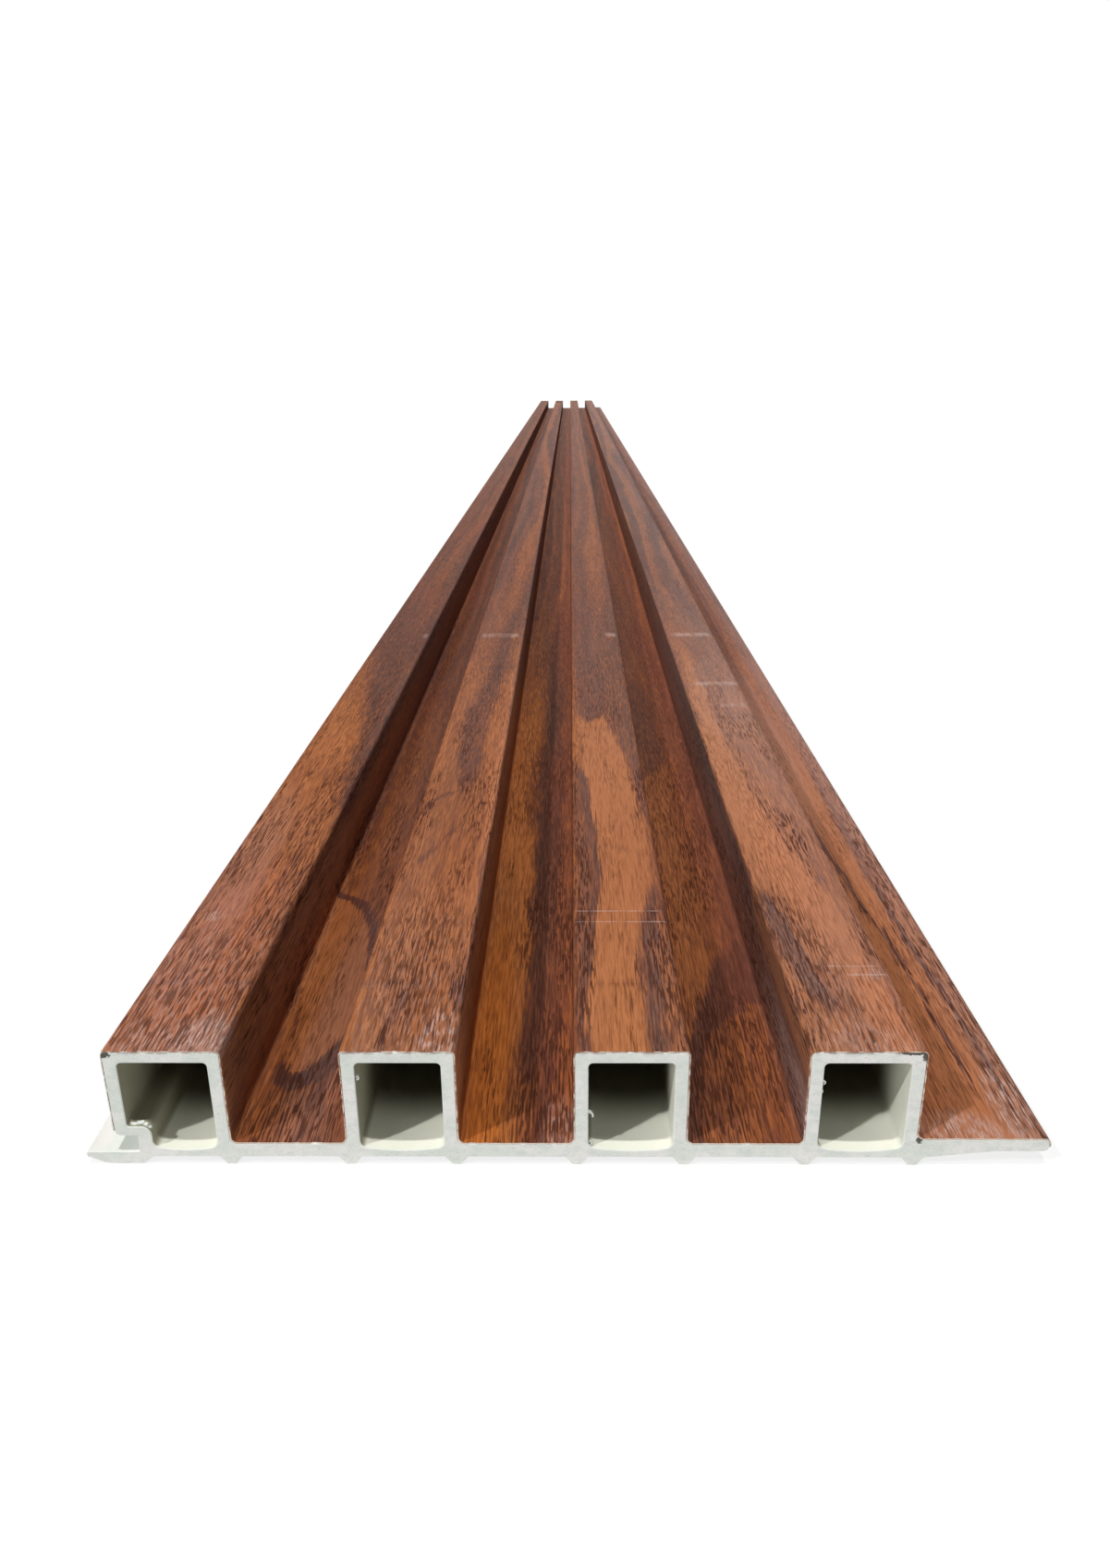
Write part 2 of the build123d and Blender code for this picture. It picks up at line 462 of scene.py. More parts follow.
def film_material():
    """Printed rosewood: orange-brown ground, dark streaks and tongues, short dark pores, a satin face."""
    material, tree, shader = start_material("rosewood_print")
    uv = add(tree, "ShaderNodeUVMap", uv_map="unrolled").outputs["UV"]
    flat = add(tree, "ShaderNodeSeparateXYZ", {"Vector": uv})
    across = calc(tree, "DIVIDE", flat.outputs["X"], MM)
    along = calc(tree, "DIVIDE", flat.outputs["Y"], MM)

    def swing(width, length, seed, reach, detail=2.0):
        """Noise drawn out along the grain, about this many millimetres to either side."""
        noise = calc(tree, "SUBTRACT", blotches(tree, uv, (width, length, even), seed, detail), 0.5)
        return calc(tree, "MULTIPLY", noise, noise_gain * reach)

    # Where each point lies across the tree's growth lines, which wander more away from the near end
    settled = fade(tree, along, 190.0, 480.0)
    wander = calc(tree, "MULTIPLY", swing(34.0, 800.0, 1.1, 11.0), fade(tree, settled, 0.0, 1.0, 0.05, 1.0))
    fine = calc(tree, "ADD", swing(8.0, 60.0, 2.7, 0.7), swing(1.2, 18.0, 3.9, 0.8))
    fine = calc(tree, "ADD", fine, swing(0.35, 9.0, 4.6, 0.85))
    line = calc(tree, "ADD", across, calc(tree, "ADD", wander, fine))

    def ramp(value, span, stops):
        """A colour, or three numbers, that follows a value through a few stops between 0 and the span."""
        made = add(tree, "ShaderNodeValToRGB", {"Fac": calc(tree, "DIVIDE", value, span)})
        made.color_ramp.interpolation = "CARDINAL"
        for index, (place, *numbers) in enumerate(stops):
            elements = made.color_ramp.elements
            element = elements[index] if index < 2 else elements.new(place / span)
            element.position = place / span
            element.color = (*numbers, 1)
        return made.outputs["Color"]

    def level(value, stops):
        """One number that follows a place across the film through a few stops."""
        return ramp(value, figure_span, [(place, number, number, number) for place, number in stops])

    # The ground tone across the unrolled film, from 0 for the darkest wood to 1 for the palest
    first_half = [
        (0.0, 0.5), (16.6, 0.7), (23.7, 0.8), (30.8, 0.74), (34.9, 0.76), (43.7, 0.82), (53.5, 0.66),
        (59.3, 0.64), (65.2, 0.5), (78.9, 0.55), (88.7, 0.74), (94.6, 0.75), (104.3, 0.79), (108.3, 0.86),
        (118.0, 0.94), (124.9, 0.82), (131.2, 0.82), (134.0, 0.6), (139.1, 0.4), (141.5, 0.4),
        (147.4, 0.45),
    ]
    second_half = [
        (147.4, 0.45), (157.1, 0.5), (163.0, 0.9), (172.8, 0.94), (176.7, 0.86), (186.5, 0.45),
        (197.2, 0.68), (205.0, 0.74), (207.5, 0.62), (210.0, 0.46), (212.8, 0.34), (215.8, 0.36),
        (223.6, 0.33), (230.5, 0.24), (233.0, 0.95), (242.2, 1.0), (248.1, 0.98), (252.9, 0.5),
        (260.7, 0.45), (269.0, 0.7), (273.0, 0.92), (279.4, 1.0), (283.3, 0.94), (285.3, 0.8),
        (288.2, 0.72),
    ]
    past_middle = calc(tree, "GREATER_THAN", line, second_half[0][0])
    tone = mix(tree, past_middle, level(line, first_half), level(line, second_half))

    def band(ground_tone, inner, soft, crosswise, stops):
        """Lays a streak of another tone between two edges that move along its run."""
        run, side = (line, along) if crosswise else (along, line)
        shares = [(place, first / figure_span, last / figure_span, 0.0) for place, first, last in stops]
        edges = ramp(run, figure_span, shares)
        edges = add(tree, "ShaderNodeSeparateXYZ", {"Vector": edges}).outputs
        past_first = calc(tree, "MULTIPLY_ADD", edges["X"], -figure_span, side)
        past_last = calc(tree, "MULTIPLY_ADD", edges["Y"], -figure_span, side)
        inside = calc(tree, "MINIMUM", past_first, calc(tree, "MULTIPLY", past_last, -1.0))
        return mix(tree, fade(tree, inside, -soft, soft), ground_tone, (inner, inner, inner, 1))

    # The larger figures of the grain. Each has its tone, how soft its edges are, whether it runs across the
    # grain, and its stops: a place along its run, then the places of its two edges there.
    figures = [
        # First rib: a little browner along the right, and further away browner over more of its width
        (0.66, 1.5, False, [
            (40, 33.4, 35.9), (60, 30.3, 35.9), (90, 29.3, 34.9), (110, 30.8, 34.9), (125, 35.9, 33.9),
        ]),
        (0.3, 4.0, False, [
            (90, 37.0, 36.0), (112, 32.5, 39.0), (135, 31.0, 39.0), (160, 29.5, 39.0), (185, 26.0, 39.0),
            (210, 22.5, 39.0), (250, 18.0, 39.0), (299, 12.0, 39.0),
        ]),
        # First web: a pale tongue with a dark line round its far side and across its near tip
        (0.12, 0.6, False, [
            (12.0, 59.3, 56.4), (17, 54.9, 63.0), (24, 56.1, 65.6), (32, 58.0, 66.2), (45, 60.0, 66.0),
            (60, 59.0, 65.8), (70, 54.6, 65.0), (78, 50.6, 63.3), (84, 48.6, 60.5), (89, 48.6, 57.2),
            (93.5, 51.5, 49.6),
        ]),
        (0.93, 0.5, False, [
            (17.5, 58.4, 56.4), (20, 56.4, 59.8), (23, 55.4, 61.8), (30, 55.0, 64.2), (38, 54.4, 64.6),
            (50, 52.3, 64.4), (60, 48.6, 63.6), (70, 48.6, 62.3), (78, 48.6, 60.3), (84, 48.6, 57.4),
            (88, 48.6, 54.4), (90.5, 51.5, 49.6),
        ]),
        # Painted shade: a darker stretch further away, in the first web's corner by the first rib's right
        # wall
        (0.42, 2.0, False, [
            (100, 50.5, 49.5), (125, 49.0, 55.0), (299, 49.0, 55.5),
        ]),
        # Second rib: a soft dark band, a hooked line and faint arc before it, and two short streaks in front
        (0.32, 1.8, False, [
            (112, 97.5, 96.5), (120, 95.6, 98.6), (130, 95.0, 99.8), (145, 93.6, 100.4), (165, 93.2, 100.0),
            (190, 93.6, 100.2), (230, 95.6, 101.0), (299, 96.0, 99.9),
        ]),
        (0.42, 0.7, False, [
            (94, 91.1, 89.2), (98, 88.9, 90.1), (102, 89.2, 90.6), (108, 90.6, 92.4), (113, 94.1, 95.6),
            (117, 97.5, 96.9),
        ]),
        (0.42, 0.6, False, [
            (66, 94.1, 92.1), (72, 92.2, 93.2), (82, 94.9, 95.7), (90, 97.7, 98.5), (96, 99.9, 98.5),
        ]),
        (0.34, 0.6, False, [
            (0, 93.8, 94.9), (8, 94.5, 95.6), (18, 95.9, 97.0), (28, 97.6, 98.4), (34, 99.0, 98.6),
        ]),
        (0.34, 0.6, False, [
            (8, 105.6, 105.0), (15, 103.9, 105.8), (28, 104.9, 106.8), (45, 105.2, 106.8),
            (70, 105.4, 106.8), (95, 106.4, 105.8),
        ]),
        # Second web: a broad dark band with a browner stretch beside it
        (0.55, 1.0, False, [
            (120, 131.7, 129.8), (140, 129.8, 134.7), (165, 129.3, 134.7), (190, 130.8, 134.7),
            (215, 134.2, 131.7),
        ]),
        (0.13, 1.7, False, [
            (14, 136.4, 134.8), (24, 133.8, 137.2), (34, 133.8, 138.0), (45, 134.3, 138.6),
            (60, 134.6, 139.0), (80, 133.8, 139.2), (110, 133.2, 139.6), (150, 133.5, 139.6),
            (190, 134.2, 139.2), (299, 134.7, 139.6),
        ]),
        (0.6, 0.6, False, [
            (0, 138.3, 144.0), (15, 139.5, 144.0), (30, 140.6, 144.0), (42, 141.5, 143.5),
            (55, 142.8, 142.0),
        ]),
        (0.2, 0.6, False, [
            (0, 136.0, 137.7), (10, 136.8, 138.4), (22, 138.0, 139.5), (34, 139.3, 140.5),
            (42, 140.8, 140.3),
        ]),
        # Third rib: dark streaks down both sides of a pale middle, browner further away
        (0.46, 0.6, False, [
            (0, 157.1, 163.0), (20, 157.1, 162.9), (40, 157.1, 164.1), (60, 157.1, 165.4),
            (80, 157.1, 165.8), (100, 157.1, 165.1), (120, 157.1, 163.8), (134, 159.1, 161.6),
            (142, 161.0, 159.1),
        ]),
        (0.28, 0.6, False, [
            (0, 161.6, 163.0), (20, 161.8, 162.9), (40, 162.9, 164.1), (60, 164.1, 165.4),
            (80, 164.4, 165.8), (100, 163.7, 165.1), (120, 162.6, 163.8), (132, 162.6, 162.0),
        ]),
        (0.58, 0.8, False, [
            (0, 171.8, 181.6), (18, 171.6, 181.6), (26, 171.5, 181.6), (34, 172.2, 181.6),
            (42, 173.2, 181.6), (50, 174.4, 181.6), (60, 175.8, 181.6), (75, 177.0, 181.6),
            (90, 177.6, 179.7), (95, 179.7, 177.7),
        ]),
        (0.3, 0.8, False, [
            (0, 172.5, 175.3), (15, 172.8, 175.5), (30, 173.0, 175.8), (42, 173.7, 176.6),
            (52, 174.9, 177.6), (62, 177.2, 176.6),
        ]),
        (0.42, 1.2, False, [
            (84, 179.2, 178.2), (92, 177.5, 181.6), (106, 176.3, 181.6), (118, 175.4, 181.6),
            (130, 174.8, 181.6), (146, 173.5, 181.6), (160, 171.6, 181.6), (180, 170.2, 181.6),
            (230, 169.6, 181.6), (299, 169.6, 181.6),
        ]),
        (0.36, 1.5, False, [
            (165, 166.9, 163.0), (180, 161.5, 170.8), (200, 161.0, 171.3), (230, 161.0, 169.9),
            (299, 161.0, 168.9),
        ]),
        # Third web: a dark arch over a pale tongue, a dark corner, and a darker stretch further away
        (0.14, 4.0, True, [
            (198.2, 22, 20), (199.4, 20, 36), (200.6, 24, 39), (202.6, 30, 43), (205.0, 34, 49),
            (206.8, 36, 58), (209.9, 38.5, 63), (215.0, 41, 68), (217.0, 62, 50),
        ]),
        (0.56, 1.0, True, [
            (198.6, 12, 10), (199.4, 3, 20), (200.6, -3, 24), (202.6, -3, 30), (206.0, -3, 35),
            (209.9, -3, 38.5), (214.6, -3, 41), (216.0, 22, 16),
        ]),
        (0.2, 0.7, False, [
            (0, 192.3, 198.6), (10, 192.3, 199.0), (20, 192.3, 199.2), (30, 192.3, 198.0),
            (40, 195.3, 194.3),
        ]),
        (0.4, 2.0, False, [
            (165, 199.2, 196.2), (180, 194.3, 206.0), (218, 194.3, 207.0), (260, 194.3, 205.0),
            (299, 199.2, 198.2),
        ]),
        # Fourth rib: a pale flame with browner wood to its right, and a dark streak at the front left
        (0.66, 0.8, False, [
            (30, 251.0, 249.0), (36, 249.8, 252.9), (50, 248.1, 252.9), (62, 246.1, 252.9),
            (78, 244.3, 252.9), (90, 242.7, 252.9), (110, 240.7, 252.9), (130, 239.7, 252.9),
            (150, 238.5, 252.9), (299, 238.3, 252.9),
        ]),
        (0.54, 0.6, False, [
            (6, 249.8, 249.4), (12, 249.2, 249.9), (30, 249.1, 249.8), (44, 247.9, 248.6),
            (60, 245.6, 246.3), (75, 243.6, 244.5), (95, 241.8, 242.5), (115, 241.0, 240.4),
        ]),
        (0.74, 1.6, False, [
            (0, 226.0, 243.5), (10, 226.0, 243.0), (30, 226.0, 241.5), (52, 226.0, 238.0),
            (70, 234.0, 231.0),
        ]),
        (0.26, 0.8, False, [
            (8, 239.4, 237.6), (14, 236.6, 239.4), (24, 234.6, 238.2), (36, 233.0, 236.5),
            (50, 232.4, 235.2), (64, 234.0, 232.2),
        ]),
        # Tongue: two thin dark lines, the right one softer further away
        (0.1, 0.6, False, [
            (8, 281.0, 280.2), (20, 279.9, 280.8), (40, 279.6, 280.6), (58, 279.2, 280.2),
            (70, 278.3, 279.3), (80, 277.1, 278.4), (100, 276.1, 277.4), (130, 274.6, 276.0),
            (160, 274.8, 273.5),
        ]),
        (0.36, 1.2, False, [
            (70, 284.4, 283.2), (85, 282.6, 284.6), (120, 282.6, 285.0), (170, 283.6, 284.6),
            (200, 284.6, 283.6),
        ]),
        (0.14, 0.6, False, [
            (5, 285.8, 285.0), (15, 284.6, 285.5), (40, 284.2, 285.1), (60, 283.5, 284.5),
            (80, 282.8, 283.8), (95, 283.6, 283.0),
        ]),
    ]
    for inner, soft, crosswise, stops in figures:
        tone = band(tone, inner, soft, crosswise, stops)

    # Further along, the same wood without those figures
    streak_inputs = {"W": calc(tree, "DIVIDE", line, streak_width), "Scale": 1.0, "Detail": 3.0}
    streaks = add(tree, "ShaderNodeTexNoise", streak_inputs, noise_dimensions="1D")
    tone = calc(tree, "MULTIPLY", tone, fade(tree, along, 140.0, 320.0, 1.0, 0.66))
    tone = mix(tree, settled, tone, fade(tree, streaks.outputs[0], 0.28, 0.72, 0.16, 0.58))

    # Streaks and fibres, lighter and darker than the ground
    tone = calc(tree, "ADD", tone, swing(2.2, 55.0, 6.2, 0.10))
    tone = calc(tree, "ADD", tone, swing(0.6, 22.0, 7.7, 0.12))
    fibres = swing(0.32, 6.0, 8.8, 0.3)
    tone = calc(tree, "ADD", tone, fibres)
    palette = [
        (0.0, 0.060, 0.027, 0.020), (0.2, 0.100, 0.040, 0.026), (0.4, 0.165, 0.058, 0.030),
        (0.6, 0.250, 0.082, 0.030), (0.8, 0.340, 0.112, 0.032), (1.0, 0.430, 0.150, 0.050),
    ]
    wood = ramp(tone, 1.0, palette)

    def patch(place, half_width, half_length, share):
        """A soft oval patch on the film, as its share in the middle and 0 outside."""
        beside = calc(tree, "DIVIDE", calc(tree, "SUBTRACT", across, place[0]), half_width)
        ahead = calc(tree, "DIVIDE", calc(tree, "SUBTRACT", along, place[1]), half_length)
        squares = [calc(tree, "MULTIPLY", away, away) for away in (beside, ahead)]
        reach = calc(tree, "ADD", *squares)
        return fade(tree, reach, 1.0, 0.1, 0.0, share)

    # Redder stretches, then the short dark pores that the embossing roll follows, thickest in the darker wood
    redder_stops = [
        (10.0, 0.14), (36.0, 0.14), (60.0, 0.2), (90.0, 0.15), (110.0, 0.1), (128.0, 0.0), (142.0, 0.35),
        (165.0, 0.05), (180.0, 0.1), (200.0, 0.1), (210.0, 0.35), (228.0, 0.15), (240.0, 0.05),
        (255.0, 0.1), (288.0, 0.3),
    ]
    redder = calc(tree, "MULTIPLY_ADD", swing(26.0, 160.0, 8.3, 1.0), 0.2, level(across, redder_stops))
    wood = mix(tree, redder, wood, red_colour)
    # Tinted patches: paler, darker and redder stretches of the print, and painted light on two right walls
    for place, half_width, half_length, tint in (
        ((24.0, 25.0), 13.0, 60.0, (1.0, 0.88, 0.94, 1)),
        # Painted light: the first rib's right wall lightened
        ((44.0, 62.0), 11.0, 60.0, (1.2, 1.3, 1.3, 1)),
        ((43.0, 0.0), 11.0, 18.0, (0.7, 0.72, 0.75, 1)),
        ((79.0, 130.0), 12.0, 45.0, (0.8, 0.8, 0.82, 1)),
        ((95.0, 105.0), 10.0, 50.0, (0.84, 0.84, 0.84, 1)),
        # Painted light: the second rib's right wall lightened
        ((110.5, 120.0), 7.0, 170.0, (1.45, 1.5, 1.5, 1)),
        ((127.0, 25.0), 5.0, 70.0, (1.1, 0.98, 0.7, 1)),
        ((126.5, 75.0), 4.5, 40.0, (0.82, 0.84, 0.9, 1)),
        ((187.0, 85.0), 9.0, 25.0, (0.7, 0.76, 0.85, 1)),
        ((242.0, 85.0), 8.0, 65.0, (1.14, 1.12, 1.1, 1)),
        ((247.0, 12.0), 5.0, 24.0, (1.15, 1.08, 0.95, 1)),
    ):
        wood = mix(tree, patch(place, half_width, half_length, 1.0), wood, tint, "MULTIPLY")
    crowd = fade(tree, blotches(tree, uv, (6.0, 45.0, even), 10.2), 0.38, 0.6)
    crowd = fade(tree, crowd, 0.0, 1.0, 0.25, 1.0)
    crowd = calc(tree, "MULTIPLY", crowd, fade(tree, tone, 1.05, 0.55, 0.4, 1.0))
    short = fade(tree, blotches(tree, uv, (0.37, 4.4, even), 9.4, 1.0), 0.53, 0.59)
    long = fade(tree, blotches(tree, uv, (0.3, 10.0, even), 12.6, 1.0), 0.535, 0.61)
    for spot in (
        ((176.5, 30.0), 5.0, 32.0, 1.0),
        ((136.5, 12.0), 7.0, 30.0, 1.0),
        ((58.0, 3.0), 9.0, 16.0, 1.0),
        ((237.5, 30.0), 6.0, 36.0, 0.8),
        ((97.0, 30.0), 11.0, 45.0, 0.78),
        ((286.5, 40.0), 2.0, 50.0, 0.6),
        ((25.0, 15.0), 13.0, 42.0, 0.85),
        ((162.0, 35.0), 3.0, 40.0, 1.0),
        ((205.0, 20.0), 10.0, 45.0, 0.8),
    ):
        crowd = calc(tree, "MAXIMUM", crowd, patch(*spot))
    crowd = calc(tree, "MULTIPLY", crowd, fade(tree, along, 70.0, 280.0, 1.0, 0.3))
    embossed = calc(tree, "MAXIMUM", short, long)
    pores = calc(tree, "MULTIPLY", embossed, crowd)

    # Rubbed paler on the crowns and the tongue, with painted sheen there that grows further along and on the
    # fourth rib's left wall, and painted light on the first two ribs' right walls; scuffed near the sawn end,
    # worst on the outer ribs, with painted glints among the scuffs
    rub_and_sheen_stops = [
        (14.0, 0.0), (16.5, 0.03), (33.0, 0.03), (35.5, 0.09), (50.0, 0.09), (54.0, 0.0), (59.0, 0.045),
        (68.0, 0.045), (71.0, 0.01), (87.0, 0.0), (89.5, 0.055), (105.0, 0.055), (107.5, 0.15),
        (116.0, 0.14), (122.0, 0.06), (125.0, 0.0), (159.0, 0.0), (161.5, 0.06), (177.0, 0.065),
        (179.5, 0.02), (196.0, 0.03), (206.0, 0.02), (214.0, 0.01), (217.0, 0.09), (229.0, 0.15),
        (233.0, 0.12), (249.0, 0.19), (252.0, 0.08), (266.0, 0.06), (281.0, 0.09), (284.5, 0.2),
        (288.0, 0.26),
    ]
    rub_and_sheen = calc(tree, "MULTIPLY", level(across, rub_and_sheen_stops), fade(tree, along, 20.0, 150.0, 0.7, 1.2))
    rub_and_sheen = calc(tree, "MULTIPLY", rub_and_sheen, fade(tree, along, 220.0, 420.0, 1.0, 0.7))
    wood = mix(tree, rub_and_sheen, wood, sheen_veil_colour)
    # Patches of the same pale veil: painted sheen on the crowns, the webs, the fourth rib's left wall and the
    # tongue, and painted light on the first rib's right wall
    for spot in (
        ((18.5, 55.0), 9.0, 75.0, 0.11),
        ((27.0, 45.0), 9.0, 80.0, 0.04),
        ((30.5, 1.0), 6.0, 12.0, 0.22),
        ((44.0, 65.0), 10.0, 60.0, 0.1),
        ((62.5, 30.0), 6.0, 70.0, 0.06),
        ((92.0, 45.0), 6.0, 60.0, 0.03),
        ((219.5, 6.0), 6.0, 22.0, 0.12),
        ((241.0, 195.0), 11.0, 60.0, 0.08),
        ((277.5, 215.0), 5.0, 110.0, 0.12),
    ):
        wood = mix(tree, patch(*spot), wood, sheen_veil_colour)

    wear_and_glint_stops = [
        (14.0, 0.0), (16.0, 0.3), (33.0, 0.32), (36.0, 0.0), (54.0, 0.0), (60.0, 0.1), (72.0, 0.04),
        (87.0, 0.05), (90.0, 0.2), (105.0, 0.24), (108.0, 0.0), (158.0, 0.03), (161.0, 0.06), (166.0, 0.02),
        (170.0, 0.02), (174.0, 0.1), (195.0, 0.1), (198.0, 0.0), (213.0, 0.0), (217.0, 0.2), (224.0, 0.1),
        (230.0, 0.04), (233.5, 0.24), (242.0, 0.2), (249.0, 0.1), (283.0, 0.05), (286.5, 0.3),
    ]
    scuffs_and_glints = calc(tree, "MULTIPLY", level(across, wear_and_glint_stops), fade(tree, along, 75.0, 15.0))
    for spot in (
        ((30.5, 2.0), 7.0, 14.0, 1.0),
        ((20.0, 46.0), 2.5, 3.0, 0.8),
        ((24.0, 0.0), 12.0, 15.0, 0.75),
        ((140.5, 1.0), 4.0, 14.0, 0.5),
        ((103.5, 2.0), 4.5, 14.0, 1.0),
        ((220.0, 12.0), 6.0, 40.0, 0.7),
        ((241.0, 1.0), 11.0, 10.0, 0.5),
        ((247.0, 24.0), 5.0, 3.0, 0.6),
        ((275.0, 1.0), 9.0, 8.0, 0.9),
        ((284.5, 8.0), 4.0, 14.0, 1.0),
    ):
        scuffs_and_glints = calc(tree, "MAXIMUM", scuffs_and_glints, patch(*spot))
    # The scuffs' pale specks are also painted glints on the embossing
    specks = fade(tree, blotches(tree, uv, (0.4, 2.4, even), 11.5, 4.0), 0.38, 0.68)
    specks = fade(tree, specks, 0.0, 1.0, 0.1, 0.72)
    wood = mix(tree, calc(tree, "MULTIPLY", scuffs_and_glints, specks), wood, scuff_and_glint_colour)
    wood = mix(tree, calc(tree, "MULTIPLY", pores, pore_strength), wood, pore_colour)

    def scratch_and_glint(place, start, end, width):
        """A straight pale line across the film, broken up along its length, for rubs and painted glints on
        creases.
        """
        away = calc(tree, "ABSOLUTE", calc(tree, "SUBTRACT", along, place))
        line_share = fade(tree, away, width, 0.1 * width)
        past_start = fade(tree, across, start - 1.0, start + 1.0)
        before_end = fade(tree, across, end + 1.0, end - 1.0)
        return calc(tree, "MULTIPLY", line_share, calc(tree, "MULTIPLY", past_start, before_end))

    # Pale crosswise lines: rubs on the third and fourth ribs near the end, and painted glints on shallow
    # creases further away
    rubs_and_glints = scratch_and_glint(43.5, 160.5, 178.0, 0.4)
    for place, start, end, width in (
        (48.0, 160.5, 177.0, 0.4),
        (23.5, 243.0, 250.0, 0.5),
        (26.5, 240.0, 249.0, 0.4),
        (188.0, 241.5, 250.5, 3.5),
        (213.0, 235.0, 250.0, 3.5),
        (284.0, 32.5, 34.5, 5.0),
        (284.0, 90.0, 104.5, 5.0),
        (284.0, 173.0, 177.5, 5.0),
        (284.0, 234.0, 249.0, 5.0),
    ):
        rubs_and_glints = calc(tree, "MAXIMUM", rubs_and_glints, scratch_and_glint(place, start, end, width))
    broken = fade(tree, blotches(tree, uv, (2.5, 9.0, even), 14.4), 0.35, 0.65, 0.08, 0.36)
    wood = mix(tree, calc(tree, "MULTIPLY", rubs_and_glints, broken), wood, rub_and_glint_colour)
    tree.links.new(wood, shader.inputs["Base Color"])

    tree.links.new(fade(tree, pores, 0.0, 1.0, 0.4, 0.6), shader.inputs["Roughness"])
    shader.inputs["Specular IOR Level"].default_value = 0.005
    relief = calc(tree, "MULTIPLY_ADD", embossed, -0.7, fibres)
    bump = add(tree, "ShaderNodeBump", {"Height": relief, "Strength": 0.45, "Distance": 0.12 * MM})
    tree.links.new(bump.outputs["Normal"], shader.inputs["Normal"])
    return material


def film_edge_material():
    """The film's cut edge: its cream body, paler on the left wall, with brown print rubbed over it."""
    material, tree, shader = start_material("film_cut_edge")
    place = add(tree, "ShaderNodeTexCoord").outputs["Object"]
    section = add(tree, "ShaderNodeSeparateXYZ", {"Vector": place}).outputs
    rub = fade(tree, blotches(tree, place, (1.6, 1.6, 1.6), 6.6, 3.0), 0.38, 0.6)
    rub = calc(tree, "MULTIPLY", rub, fade(tree, section["Z"], 5.6 * MM, 7.0 * MM, 0.15, 1.0))
    off_wall = fade(tree, section["X"], rib_left(0) + 0.35 * MM, rib_left(0) + 0.8 * MM)
    cream = mix(tree, off_wall, edge_wall_colour, edge_cream_colour)
    rub = calc(tree, "MULTIPLY", rub, off_wall)
    tree.links.new(mix(tree, rub, cream, edge_print_colour), shader.inputs["Base Color"])
    shader.inputs["Roughness"].default_value = 0.6
    return material


film_mesh = bmesh.new()
film_start = (rib_left(0), hook_height + hook_round, 0.0)
film_stop = (tongue_tip, tongue_bottom + nose_round, 0.0)
draw_outline(film_mesh, [film_start] + face_corners(0.0) + [film_stop], near_end, closed=False)
for edge in film_mesh.edges[:]:
    bmesh.ops.subdivide_edges(film_mesh, edges=[edge], cuts=int(edge.calc_length() / film_column))

# How far each point is from the hook when the film is laid out flat
unrolled = film_mesh.verts.layers.float.new("unrolled")
film_mesh.verts.ensure_lookup_table()
hook_point = Vector((film_start[0], near_end, film_start[1]))
vert = min(film_mesh.verts, key=lambda point: (point.co - hook_point).length)
reached = 0.0
came_by = None
while vert is not None:
    vert[unrolled] = reached
    onward = next((edge for edge in vert.link_edges if edge is not came_by), None)
    if onward is None:
        break
    reached += onward.calc_length()
    vert = onward.other_vert(vert)
    came_by = onward

row_edges = film_mesh.edges[:]
film_length = far_end - near_end
stations = film_rows + [film_length - row for row in reversed(film_rows)]
for start, end in zip(stations, stations[1:]):
    drawn = bmesh.ops.extrude_edge_only(film_mesh, edges=row_edges)["geom"]
    row_verts = [item for item in drawn if isinstance(item, bmesh.types.BMVert)]
    bmesh.ops.translate(film_mesh, verts=row_verts, vec=(0, end - start, 0))
    row_edges = [
        item
        for item in drawn
        if isinstance(item, bmesh.types.BMEdge) and all(vert in row_verts for vert in item.verts)
    ]
bmesh.ops.recalc_face_normals(film_mesh, faces=film_mesh.faces)
top_face = max(film_mesh.faces, key=lambda face: face.calc_center_median().z)
if top_face.normal.z < 0:
    bmesh.ops.reverse_faces(film_mesh, faces=film_mesh.faces)

fray = random.Random(11)
for cut, inward in ((near_end, 1.0), (far_end, -1.0)):
    pull = 0.0
    cut_verts = [vert for vert in film_mesh.verts if abs(vert.co.y - cut) < cut_reach]
    for vert in sorted(cut_verts, key=lambda vert: vert[unrolled]):
        pull = max(0.0, 0.5 * pull + fray.gauss(0.0, fray_common))
        if fray.random() < fray_chip_share:
            pull += fray_chip * fray.random()
        vert.co.y += inward * min(pull, fray_chip)
uv_map = film_mesh.loops.layers.uv.new("unrolled")
for face in film_mesh.faces:
    for loop in face.loops:
        loop[uv_map].uv = (loop.vert[unrolled], loop.vert.co.y - near_end)
for edge in film_mesh.edges:
    edge.smooth = not edge.is_boundary
film = finish_piece("printed_film", film_mesh, [film_material(), film_edge_material()])
body = film.modifiers.new("film_body", "SOLIDIFY")
body.thickness = film_thickness
body.offset = -1.0
body.use_even_offset = True
body.material_offset_rim = 1
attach(film, "root")
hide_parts("woodgrain_film")

# Floor: a plain pale studio floor, far larger than the panel, that takes its shadow.
# It shows partly as plain white to the camera and in gloss, so that the shadow stays light.
floor_whiteness = 0.8


def seen_directly(tree):
    """1 for rays from the camera, in gloss or through glass, and 0 for the light that falls on the panel."""
    rays = add(tree, "ShaderNodeLightPath").outputs
    seen = calc(tree, "MAXIMUM", rays["Is Camera Ray"], rays["Is Glossy Ray"])
    return calc(tree, "MAXIMUM", seen, rays["Is Transmission Ray"])


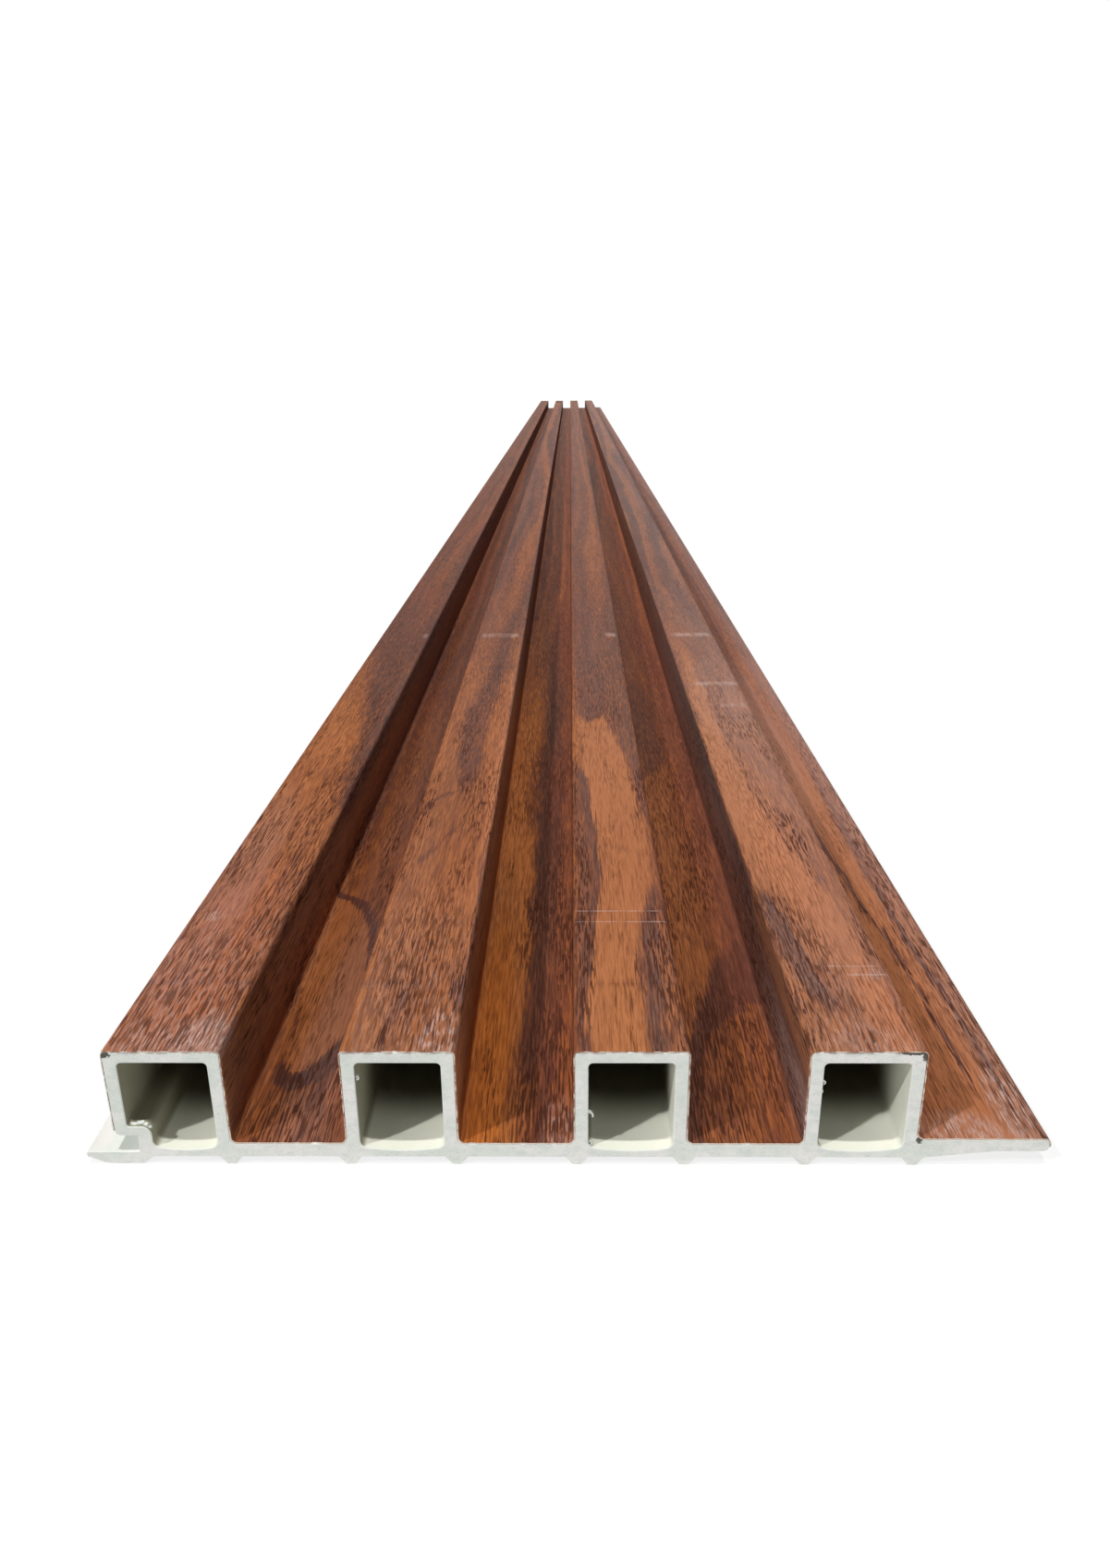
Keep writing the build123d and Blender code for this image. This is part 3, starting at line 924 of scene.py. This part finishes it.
floor_mesh = bmesh.new()
bmesh.ops.create_grid(floor_mesh, x_segments=1, y_segments=1, size=40.0)
floor_material, floor_tree, floor_shader = start_material("pale_floor")
floor_shader.inputs["Base Color"].default_value = (0.92, 0.92, 0.92, 1)
floor_shader.inputs["Roughness"].default_value = 0.9
floor_shader.inputs["Specular IOR Level"].default_value = 0.0
floor_glow = add(floor_tree, "ShaderNodeEmission", {"Color": (1, 1, 1, 1), "Strength": 1.0})
glow_share = calc(floor_tree, "MULTIPLY", seen_directly(floor_tree), floor_whiteness)
shown_inputs = {0: glow_share, 1: floor_shader.outputs[0], 2: floor_glow.outputs[0]}
shown = add(floor_tree, "ShaderNodeMixShader", shown_inputs)
floor_tree.links.new(shown.outputs[0], floor_tree.nodes["Material Output"].inputs["Surface"])
floor = finish_piece("studio_floor", floor_mesh, [floor_material])

# Light: one lamp nearly overhead, one from the front left, and an even pale surround.
# The surround shows as white to the camera and in gloss, and lights the panel more softly.


def hang_lamp(name, towards, level, softness, colour):
    """A far lamp along a direction. A level of 1 lights a white face square to it to plain white."""
    light = bpy.data.lights.new(name, "SUN")
    light.energy = level * math.pi
    light.angle = math.radians(softness)
    light.color = colour
    lamp = bpy.data.objects.new(name, light)
    lamp.matrix_world = Vector(towards).to_track_quat("-Z", "Y").to_matrix().to_4x4()
    bpy.context.scene.collection.objects.link(lamp)


hang_lamp("overhead_lamp", (0.0, 0.14, -0.99), 0.58, 2.0, (1.0, 0.98, 0.95))
hang_lamp("front_left_lamp", (0.549, 0.401, -0.733), 0.52, 2.5, (1.0, 0.99, 0.97))

world = bpy.data.worlds.new("studio_surround")
world.use_nodes = True
bpy.context.scene.world = world
surround = world.node_tree
soft_light = surround.nodes["Background"]
soft_light.inputs["Color"].default_value = (0.95, 0.98, 1.0, 1)
soft_light.inputs["Strength"].default_value = 0.22
white = add(surround, "ShaderNodeBackground", {"Color": (1, 1, 1, 1), "Strength": 1.0})
seen = seen_directly(surround)
chosen = add(surround, "ShaderNodeMixShader", {0: seen, 1: soft_light.outputs[0], 2: white.outputs[0]})
surround.links.new(chosen.outputs[0], surround.nodes["World Output"].inputs["Surface"])

# Camera: close to the sawn end and a little above the panel, looking down its length.
# Its place, angles and lens are fitted to the photograph.
camera_place = (1.31 * MM, near_end - 149.03 * MM, 125.52 * MM)
camera_pitch = math.radians(21.08)
camera_yaw = math.radians(-0.94)
camera_roll = math.radians(0.52)
lens = bpy.data.cameras.new("front_camera")
lens.sensor_width = 36.0
lens.lens = 25.348
lens.clip_start = 0.01
lens.clip_end = 200.0
camera = bpy.data.objects.new("front_camera", lens)
ahead = Vector(
    (
        math.sin(camera_yaw) * math.cos(camera_pitch),
        math.cos(camera_yaw) * math.cos(camera_pitch),
        -math.sin(camera_pitch),
    )
)
level_right = Vector((math.cos(camera_yaw), -math.sin(camera_yaw), 0.0))
level_down = ahead.cross(level_right)
right = math.cos(camera_roll) * level_right + math.sin(camera_roll) * level_down
down = math.cos(camera_roll) * level_down - math.sin(camera_roll) * level_right
axes = Matrix((right, -down, -ahead)).transposed()
camera.matrix_world = Matrix.Translation(camera_place) @ axes.to_4x4()
bpy.context.scene.collection.objects.link(camera)
bpy.context.scene.camera = camera
bpy.context.scene.view_settings.view_transform = "Standard"
